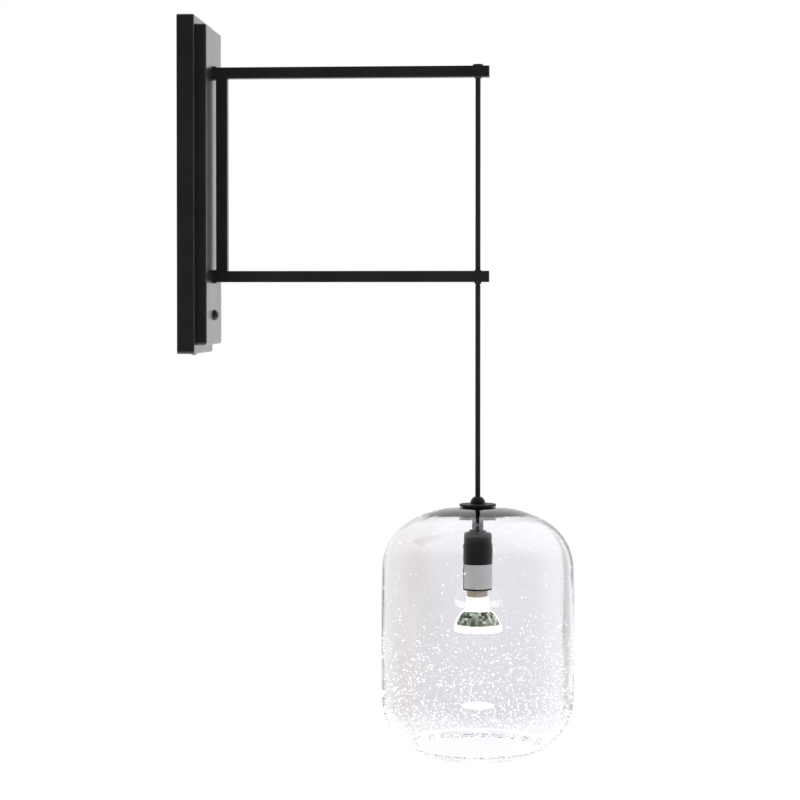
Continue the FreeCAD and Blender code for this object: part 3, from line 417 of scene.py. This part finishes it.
FITTING_COAT = powder_coat("fitting_black_coat", (0.0040, 0.0039, 0.0040), (0.0065, 0.0063, 0.0065),
                           (0.55, 0.65))
NODE_MATERIALS = {"outer_canopy": CANOPY_COAT, "inner_canopy": CANOPY_COAT}
for fitting in ("cord_grip", "upper_disc", "lower_disc", "threaded_tube"):
    NODE_MATERIALS[fitting] = FITTING_COAT

slots = {row["node"]: row["material_slot"] for row in frame["record"]["subparts"]}
for name, piece in frame["nodes"].items():
    chosen = NODE_MATERIALS.get(name) or MATERIALS.get(slots[name])
    if chosen:
        piece.data.materials.clear()
        piece.data.materials.append(chosen)
for cord in (upper_cord, drop_cord, hidden_cord, tail_cord, bend):
    cord.data.materials.append(MATERIALS["black_cord"])


# ---------------------------------------------------------------- turned meshes

def link(name, mesh, body, materials, smooth=True):
    """Makes the mesh an object that rides on a body."""
    piece = bpy.data.objects.new(name, mesh)
    bpy.context.scene.collection.objects.link(piece)
    for material in materials:
        mesh.materials.append(material)
    for face in mesh.polygons:
        face.use_smooth = smooth
    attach(piece, body)
    return piece


def turned_mesh(name, loop, count, shift=None):
    """A closed outline of (radius, height) points in millimetres, turned round the pendant's axis.

    shift(angle, index, radius, height) gives a small change of radius for each point.
    """
    bm = bmesh.new()
    rings = []
    for step in range(count):
        angle = 2 * math.pi * step / count
        ring = []
        for index, (r, z) in enumerate(loop):
            change = shift(angle, index, r, z) if shift else 0.0
            reach = (r + change) * MM
            ring.append(bm.verts.new((AXIS_X + reach * math.cos(angle), reach * math.sin(angle), z * MM)))
        rings.append(ring)
    for step in range(count):
        here, there = rings[step], rings[(step + 1) % count]
        for index in range(len(loop)):
            after = (index + 1) % len(loop)
            bm.faces.new((here[index], there[index], there[after], here[after]))
    bmesh.ops.recalc_face_normals(bm, faces=bm.faces)
    mesh = bpy.data.meshes.new(name)
    bm.to_mesh(mesh)
    bm.free()
    return mesh


# ---------------------------------------------------------------- glass shade

# The outside is a chain of tangent arcs, each given as (radius, turn in degrees).
GLASS_Z = -340.7
GLASS_TOP_T = 6.0
GLASS_WALL = 3.5
GLASS_HOLE_R = 4.6
GLASS_SEAT_R = 12.0
CROWN_START_R = 17.0
CROWN = (108.7, 32.5)
SHOULDER = (57.0, 56.0)
BARREL = (2860.0, 2.85)
HIP = (52.4, 42.8)
FOOT = (178.0, 9.2)
LIP_R = 5.0
LIP_FILLET_R = 6.0
OUTLINE_STEP = 2.0
SHADE_SEGMENTS = 240
SAME_POINT = 1e-4


def outward(degrees):
    a = math.radians(degrees)
    return Vector((math.sin(a), math.cos(a)))


def bows(start, turns):
    """Tangent arcs as (centre, radius, first heading, last heading), in radius and height."""
    found = []
    at = 0.0
    point = Vector(start)
    for radius, turn in turns:
        centre = point - outward(at) * radius
        found.append((centre, radius, at, at + turn))
        at += turn
        point = centre + outward(at) * radius
    return found


def along_bow(bow, inset, step_mm, last=None):
    """Points along one arc, moved inwards by inset."""
    centre, radius, first, end = bow
    end = end if last is None else last
    count = max(3, int(abs(math.radians(end - first)) * radius / step_mm))
    return [centre + outward(first + (end - first) * i / count) * (radius - inset) for i in range(count + 1)]


def arc_between(centre, radius, start, end, clockwise, count):
    """Points on a circle from one point to another."""
    a = math.atan2(start.y - centre.y, start.x - centre.x)
    b = math.atan2(end.y - centre.y, end.x - centre.x)
    if clockwise and b > a:
        b -= 2 * math.pi
    if not clockwise and b < a:
        b += 2 * math.pi
    return [centre + Vector((math.cos(a + (b - a) * i / count), math.sin(a + (b - a) * i / count))) * radius
            for i in range(count + 1)]


def shade_outline():
    """The shade's section: outer points, the closed loop, and where its inner side starts."""
    outer = bows((CROWN_START_R, GLASS_Z), [CROWN, SHOULDER, BARREL, HIP, FOOT])
    end_heading = outer[-1][3]
    lip_start = outer[-1][0] + outward(end_heading) * outer[-1][1]
    lip_centre = lip_start - outward(end_heading) * LIP_R
    crown_centre, crown_radius, _, crown_turn = outer[0]
    crown_end = crown_centre + outward(crown_turn) * (crown_radius - GLASS_WALL)
    # The crown's inner side is one arc, so that the glass thins from the seat outwards.
    low = GLASS_Z - GLASS_TOP_T
    thinning_radius = (low - crown_end.y) / (1 - math.cos(math.radians(crown_turn)))
    thinning_start = crown_end.x - thinning_radius * math.sin(math.radians(crown_turn))
    thinning = (Vector((thinning_start, low - thinning_radius)), thinning_radius, 0.0, crown_turn)
    foot_centre, foot_radius = outer[4][0], outer[4][1] - GLASS_WALL
    # A fillet joins the wall's inner side to the round lip.
    across = lip_centre - foot_centre
    gap = across.length
    near, far = foot_radius - LIP_FILLET_R, LIP_R + LIP_FILLET_R
    along = (near ** 2 - far ** 2 + gap ** 2) / (2 * gap)
    off = math.sqrt(near ** 2 - along ** 2)
    unit = across.normalized()
    side = Vector((-unit.y, unit.x))
    fillet = max((foot_centre + unit * along + side * s * off for s in (1, -1)), key=lambda p: p.x)
    on_foot = foot_centre + (fillet - foot_centre).normalized() * foot_radius
    on_lip = lip_centre + (fillet - lip_centre).normalized() * LIP_R
    reach = on_foot - foot_centre
    foot_end = math.degrees(math.atan2(reach.x, reach.y))
    # The closed loop runs down the outside, round the lip and up the inside.
    outside = [Vector((GLASS_HOLE_R, GLASS_Z)), Vector((GLASS_SEAT_R, GLASS_Z))]
    for bow in outer:
        outside += along_bow(bow, 0.0, OUTLINE_STEP)
    loop = list(outside)
    loop += arc_between(lip_centre, LIP_R, lip_start, on_lip, True, 16)[1:]
    loop += arc_between(fillet, LIP_FILLET_R, on_lip, on_foot, False, 6)[1:]
    inside = along_bow(outer[4], GLASS_WALL, OUTLINE_STEP, foot_end)[::-1]
    for bow in outer[3:0:-1]:
        inside += along_bow(bow, GLASS_WALL, OUTLINE_STEP)[::-1]
    inside += along_bow(thinning, 0.0, OUTLINE_STEP)[::-1]
    inner_from = len(loop)
    loop += inside[1:]
    loop += [Vector((GLASS_SEAT_R, low)), Vector((GLASS_HOLE_R, low))]
    # Points that fall on one another are kept once.
    clean = [loop[0]]
    kept_from = inner_from
    for index, point in enumerate(loop[1:], 1):
        if (point - clean[-1]).length > SAME_POINT:
            clean.append(point)
        elif index < inner_from:
            kept_from -= 1
    return outside, [(p.x, p.y) for p in clean], kept_from


# The waves fade away towards the seat of the discs and towards the lip.
OUTER_WAVE_MM = 0.12
INNER_WAVE_MM = 0.35
WAVE_FREE_R = 30.0
WAVE_FREE_Z = -590.0
WAVES_ROUND = 2.6
WAVE_HEIGHT = 90.0
INNER_WAVES_AT = Vector((7.0, 3.0, 11.0))


def glass_wave(inner_from):
    """Small hand-blown unevenness: gentle outside, stronger and drawn out downwards inside."""
    def shift(angle, index, r, z):
        fade = min(1.0, max(0.0, (r - WAVE_FREE_R) / 30.0))
        fade *= min(1.0, max(0.0, (z - WAVE_FREE_Z) / 40.0))
        spot = Vector((WAVES_ROUND * math.cos(angle), WAVES_ROUND * math.sin(angle), z / WAVE_HEIGHT))
        if index >= inner_from:
            return INNER_WAVE_MM * fade * noise.noise(spot + INNER_WAVES_AT)
        return OUTER_WAVE_MM * fade * noise.noise(spot)
    return shift


outer_points, glass_loop, inner_index = shade_outline()
shade_mesh = turned_mesh("shade_glass", glass_loop, SHADE_SEGMENTS, glass_wave(inner_index))
shade = link("shade_glass", shade_mesh, "pendant", [MATERIALS["seeded_glass"]])
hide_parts("glass_shade")


# ---------------------------------------------------------------- seed bubbles

SEED_COUNT = 4200
SEED_RANDOM = 27
SEED_MEDIAN = 0.5
SEED_SPREAD = 0.38
SEED_SMALLEST = 0.22
SEED_LARGEST = 1.2
SEED_FREE_R = 24.0
SEED_SKIN = 0.25
SEED_SLACK = 0.3
FINE_BALL_FROM = 0.6
MIDDLE_OF_SECTION = Vector((40.0, -470.0))
# Density at a height, as (height, share of the densest).
SEED_DENSITY = ((-330.0, 0.02), (-430.0, 0.05), (-455.0, 0.10), (-485.0, 0.34), (-520.0, 0.70),
                (-560.0, 1.0), (-605.0, 1.0))


def seed_density(z):
    """How many bubbles there are at a height, against the densest place."""
    for (z0, d0), (z1, d1) in zip(SEED_DENSITY, SEED_DENSITY[1:]):
        if z >= z1:
            return d0 + (d1 - d0) * (z0 - z) / (z0 - z1)
    return SEED_DENSITY[-1][1]


def outline_places(points):
    """Places along the outer outline: point, inward direction and a weight for its area and density."""
    places = []
    for a, b in zip(points, points[1:]):
        run = (b - a).length
        if run < 1e-6 or a.x < SEED_FREE_R:
            continue
        middle = (a + b) / 2
        along = (b - a) / run
        inward = Vector((along.y, -along.x)) * -1.0
        if inward.dot(MIDDLE_OF_SECTION - middle) < 0:
            inward.negate()
        places.append((middle, inward, run * middle.x * seed_density(middle.y)))
    return places


def ball_shape(subdivisions):
    """Corners and faces of a ball of radius 1."""
    ball = bmesh.new()
    bmesh.ops.create_icosphere(ball, subdivisions=subdivisions, radius=1.0)
    corners = [v.co.copy() for v in ball.verts]
    faces = [tuple(v.index for v in f.verts) for f in ball.faces]
    ball.free()
    return corners, faces


def bubbles_mesh():
    """Thousands of small uneven bubbles inside the wall of the glass."""
    rng = random.Random(SEED_RANDOM)
    places = outline_places(outer_points)
    weights = [w for _, _, w in places]
    plain_ball, fine_ball = ball_shape(1), ball_shape(2)
    verts, polys = [], []
    for middle, inward, _ in rng.choices(places, weights, k=SEED_COUNT):
        size = SEED_MEDIAN * math.exp(rng.gauss(0.0, SEED_SPREAD))
        size = min(SEED_LARGEST, max(SEED_SMALLEST, size))
        corners, faces = fine_ball if size > FINE_BALL_FROM else plain_ball
        depth = rng.uniform(size + SEED_SKIN, max(size + SEED_SLACK, GLASS_WALL - size - SEED_SKIN))
        spot = middle + inward * depth
        angle = rng.uniform(0.0, 2 * math.pi)
        height = spot.y + rng.uniform(-1.0, 1.0)
        centre = Vector((AXIS_X + spot.x * MM * math.cos(angle), spot.x * MM * math.sin(angle), height * MM))
        turned = Matrix.Rotation(rng.uniform(0, math.pi), 3, "Z")
        tipped = Matrix.Rotation(rng.uniform(0, math.pi), 3, "X")
        spin = turned @ tipped
        stretch = Vector((rng.uniform(0.8, 1.0), rng.uniform(0.7, 1.0), rng.uniform(0.8, 1.15)))
        base = len(verts)
        for corner in corners:
            uneven = Vector((corner.x * stretch.x, corner.y * stretch.y, corner.z * stretch.z)) * size * MM
            verts.append(centre + spin @ uneven)
        polys += [tuple(base + i for i in face) for face in faces]
    mesh = bpy.data.meshes.new("seed_bubbles")
    mesh.from_pydata(verts, [], polys)
    mesh.update()
    return mesh


link("seed_bubbles", bubbles_mesh(), "pendant", [seed_material("seed_bubbles")])


# ---------------------------------------------------------------- lamp

LAMP_FRONT_Z = -472.5
NECK_Z = -436.5
NECK_R = 11.05
FLARE_Z = -448.5
RIM_Z = -465.8
FLARE_MIDDLE = (19.5, -456.1)
LAMP_R = 25.0
FACET_COLUMNS = 34
FACET_ROWS = 7
FLARE_RIM_R = 24.4
REFLECTOR_WALL = 1.3


def reflector_profile():
    """Outer (radius, height) points of the reflector: straight neck, then one arc to the rim."""
    a, b, c = Vector((NECK_R, FLARE_Z)), Vector(FLARE_MIDDLE), Vector((FLARE_RIM_R, RIM_Z))
    d = 2 * (a.x * (b.y - c.y) + b.x * (c.y - a.y) + c.x * (a.y - b.y))
    aa, bb, cc = a.dot(a), b.dot(b), c.dot(c)
    centre = Vector(((aa * (b.y - c.y) + bb * (c.y - a.y) + cc * (a.y - b.y)) / d,
                     (aa * (c.x - b.x) + bb * (a.x - c.x) + cc * (b.x - a.x)) / d))
    flare = arc_between(centre, (a - centre).length, a, c, True, FACET_ROWS)
    return [(NECK_R, NECK_Z)] + [(p.x, p.y) for p in flare]


def reflector_mesh():
    """Faceted reflector with a thin wall and a rounded front rim."""
    outer = reflector_profile()
    rim_z = outer[-1][1]
    rim = [(LAMP_R - 0.2, rim_z - 0.2), (LAMP_R, rim_z - 0.8), (LAMP_R, LAMP_FRONT_Z + 0.6),
           (LAMP_R - 0.3, LAMP_FRONT_Z + 0.1), (LAMP_R - 0.8, LAMP_FRONT_Z), (LAMP_R - 1.4, LAMP_FRONT_Z + 0.2),
           (LAMP_R - 1.4, rim_z)]
    inner = [(LAMP_R - 1.9, rim_z)]
    inner += [(r - REFLECTOR_WALL, z - 0.5) for r, z in outer[-2:0:-1]]
    inner += [(NECK_R - REFLECTOR_WALL, NECK_Z)]
    return turned_mesh("lamp_reflector", outer + rim + inner, FACET_COLUMNS)


FACET_STOPS = ((0.02, (0.03, 0.035, 0.022)), (0.14, (0.10, 0.125, 0.085)), (0.3, (0.24, 0.28, 0.21)),
               (0.45, (0.46, 0.52, 0.42)), (0.65, (0.85, 0.9, 0.8)))
FACET_GLOW = 0.55


def reflector_material(name):
    """Facets of a coated reflector: greys and greens with dark strokes; neck, edges and rim glow white."""
    material, tree, out = new_material(name)
    parts = place_parts(tree)
    column = calc(tree, "MULTIPLY", angle_round_axis(tree, parts), FACET_COLUMNS / (2 * math.pi))
    row = calc(tree, "MULTIPLY", parts["Z"], FACET_ROWS / ((FLARE_Z - RIM_Z) * MM))
    cell = node(tree, "ShaderNodeCombineXYZ", {"X": column, "Y": row})
    whole = node(tree, "ShaderNodeVectorMath", {0: cell.outputs[0]}, operation="FLOOR")
    random_cell = node(tree, "ShaderNodeTexWhiteNoise", {"Vector": whole.outputs[0]}, noise_dimensions="3D")
    streaks = noise_value(tree, object_point(tree, (1.0, 1.0, 0.45)), 420.0, 2.0, 0.6)
    facet = colour_ramp(tree, calc(tree, "MULTIPLY", random_cell.outputs["Value"], streaks), FACET_STOPS)
    neck_glow = remap(tree, parts["Z"], (FLARE_Z - 3.0) * MM, (FLARE_Z - 0.5) * MM, 0.0, 3.0)
    rim_glow = remap(tree, parts["Z"], (RIM_Z + 0.6) * MM, (RIM_Z - 0.4) * MM, 0.0, 2.5)
    facing = node(tree, "ShaderNodeLayerWeight", {"Blend": 0.5}).outputs["Facing"]
    edge_glow = remap(tree, facing, 0.66, 0.82, 0.0, 1.6)
    glow = calc(tree, "ADD", calc(tree, "ADD", neck_glow, rim_glow), edge_glow)
    whitened = tree.nodes.new("ShaderNodeMix")
    whitened.data_type = "RGBA"
    tree.links.new(remap(tree, glow, 0.1, 0.8, 0.0, 1.0), whitened.inputs[0])
    tree.links.new(facet, whitened.inputs[6])
    whitened.inputs[7].default_value = (1.0, 0.985, 0.95, 1.0)
    shader = node(tree, "ShaderNodeBsdfPrincipled",
                  {"Base Color": facet, "Metallic": 0.0, "Roughness": 0.15,
                   "Emission Color": whitened.outputs[2],
                   "Emission Strength": calc(tree, "ADD", glow, FACET_GLOW)})
    tree.links.new(shader.outputs[0], out.inputs["Surface"])
    return material


facets = reflector_material("lamp_facets")
lamp = link("lamp_reflector", reflector_mesh(), "lamp", [facets], smooth=False)
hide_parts("bulb_reflector")


# ---------------------------------------------------------------- stage and light

# Metres.
FLOOR_Z = -1.35
FLOOR_R = 4.0
FLOOR_FADES_FROM = 1.2
WHITE = (1.0, 1.0, 1.0, 1.0)


def make_floor():
    """Pale round floor that fades out at its edge."""
    bm = bmesh.new()
    bmesh.ops.create_circle(bm, cap_ends=True, segments=96, radius=FLOOR_R)
    mesh = bpy.data.meshes.new("floor")
    bm.to_mesh(mesh)
    bm.free()
    floor = bpy.data.objects.new("floor", mesh)
    floor.location = (0.2, 0.0, FLOOR_Z)
    bpy.context.scene.collection.objects.link(floor)
    material, tree, out = new_material("floor")
    place = node(tree, "ShaderNodeTexCoord")
    far = node(tree, "ShaderNodeVectorMath", {0: place.outputs["Object"]}, operation="LENGTH")
    fade = remap(tree, far.outputs["Value"], FLOOR_FADES_FROM, FLOOR_R, 0.0, 1.0)
    grain = noise_value(tree, place.outputs["Object"], 9.0, 3.0, 0.5)
    tone = mix_colours(tree, grain, (0.94, 0.94, 0.94), (0.97, 0.97, 0.97))
    pale = node(tree, "ShaderNodeBsdfPrincipled",
                {"Base Color": tone, "Roughness": 0.9, "Specular IOR Level": 0.1,
                 "Emission Color": WHITE, "Emission Strength": 0.25})
    clear = node(tree, "ShaderNodeBsdfTransparent")
    mixed = node(tree, "ShaderNodeMixShader", {0: fade, 1: pale.outputs[0], 2: clear.outputs[0]})
    tree.links.new(mixed.outputs[0], out.inputs["Surface"])
    mesh.materials.append(material)


# What shows through the glass, as (direction, colour). Direction is in degrees from +Y towards +X.
# Straight ahead is a pale wall with a warm strip at its left and a dark strip at its right.
BEHIND_DARK = (0.02, 0.02, 0.02)
SEEN_THROUGH_GLASS = (
    (-180, BEHIND_DARK), (-130, BEHIND_DARK), (-105, (0.30, 0.30, 0.30)), (-85, (0.75, 0.75, 0.75)),
    (-50, (0.95, 0.95, 0.97)), (-17, (0.98, 0.97, 1.0)), (-15, (0.84, 0.80, 0.785)), (-7, (0.84, 0.80, 0.785)),
    (-4.2, (0.98, 0.96, 0.985)), (-3.2, (1.0, 0.98, 1.03)), (5.5, (1.0, 0.98, 1.03)), (7, (0.42, 0.41, 0.42)),
    (11.5, (0.42, 0.41, 0.42)), (13.5, (1.0, 0.99, 1.02)), (50, (0.97, 0.97, 0.98)), (85, (0.75, 0.75, 0.75)),
    (105, (0.30, 0.30, 0.30)), (130, BEHIND_DARK), (180, BEHIND_DARK))


def make_world():
    """White studio. The backdrop is pure white, and the camera's side is dim, so blacks stay black."""
    world = bpy.data.worlds.new("studio")
    bpy.context.scene.world = world
    world.use_nodes = True
    tree = world.node_tree
    tree.nodes.clear()
    out = tree.nodes.new("ShaderNodeOutputWorld")
    place = node(tree, "ShaderNodeTexCoord")
    parts = node(tree, "ShaderNodeSeparateXYZ", {"Vector": place.outputs["Generated"]})
    around = remap(tree, calc(tree, "ARCTAN2", parts.outputs["X"], parts.outputs["Y"]),
                   -math.pi, math.pi, 0.0, 1.0)
    stops = [(degrees / 360.0 + 0.5, colour) for degrees, colour in SEEN_THROUGH_GLASS]
    seen = colour_ramp(tree, around, stops)
    # The backdrop is a little dimmer low down.
    lower = remap(tree, parts.outputs["Z"], -0.24, -0.08, 0.88, 1.02)
    # Less light comes from the camera's side and more from above.
    ambient = remap(tree, parts.outputs["Y"], -0.4, 0.5, 0.4, 1.0)
    above = remap(tree, parts.outputs["Z"], 0.2, 0.9, 0.0, 0.5)
    lit = calc(tree, "ADD", ambient, above)
    # Satin blacks mirror a bright room ahead and a dark one behind the camera.
    mirrored = remap(tree, parts.outputs["Y"], -0.35, 0.3, 0.05, 1.1)
    path = node(tree, "ShaderNodeLightPath")
    studio = node(tree, "ShaderNodeBackground", {"Color": WHITE, "Strength": lit})
    glossy = node(tree, "ShaderNodeBackground", {"Color": WHITE, "Strength": mirrored})
    behind = node(tree, "ShaderNodeBackground", {"Color": seen, "Strength": lower})
    white = node(tree, "ShaderNodeBackground", {"Color": WHITE, "Strength": 1.0})
    chosen = studio
    backgrounds = (("Is Glossy Ray", glossy), ("Is Transmission Ray", behind), ("Is Camera Ray", white))
    for ray, background in backgrounds:
        chosen = node(tree, "ShaderNodeMixShader", {0: path.outputs[ray], 1: chosen.outputs[0],
                                                    2: background.outputs[0]})
    tree.links.new(chosen.outputs[0], out.inputs["Surface"])


def soft_light(name, place, target, size, energy):
    """A large soft area light aimed at a point; size in metres, energy in watts."""
    data = bpy.data.lights.new(name, "AREA")
    data.shape = "RECTANGLE"
    data.size, data.size_y = size
    data.energy = energy
    light = bpy.data.objects.new(name, data)
    light.location = place
    light.rotation_mode = "QUATERNION"
    light.rotation_quaternion = (Vector(target) - Vector(place)).to_track_quat("-Z", "Y")
    light.visible_glossy = False
    light.visible_transmission = False
    bpy.context.scene.collection.objects.link(light)


LIT_POINT = (0.2, 0.0, -0.1)

make_floor()
make_world()
soft_light("key", (1.6, -1.6, 1.4), LIT_POINT, (1.4, 1.4), 14.0)
soft_light("fill", (-1.8, -1.8, 0.4), LIT_POINT, (1.2, 1.6), 5.0)

bpy.context.scene.view_settings.view_transform = "Standard"
bpy.context.scene.view_settings.look = "None"
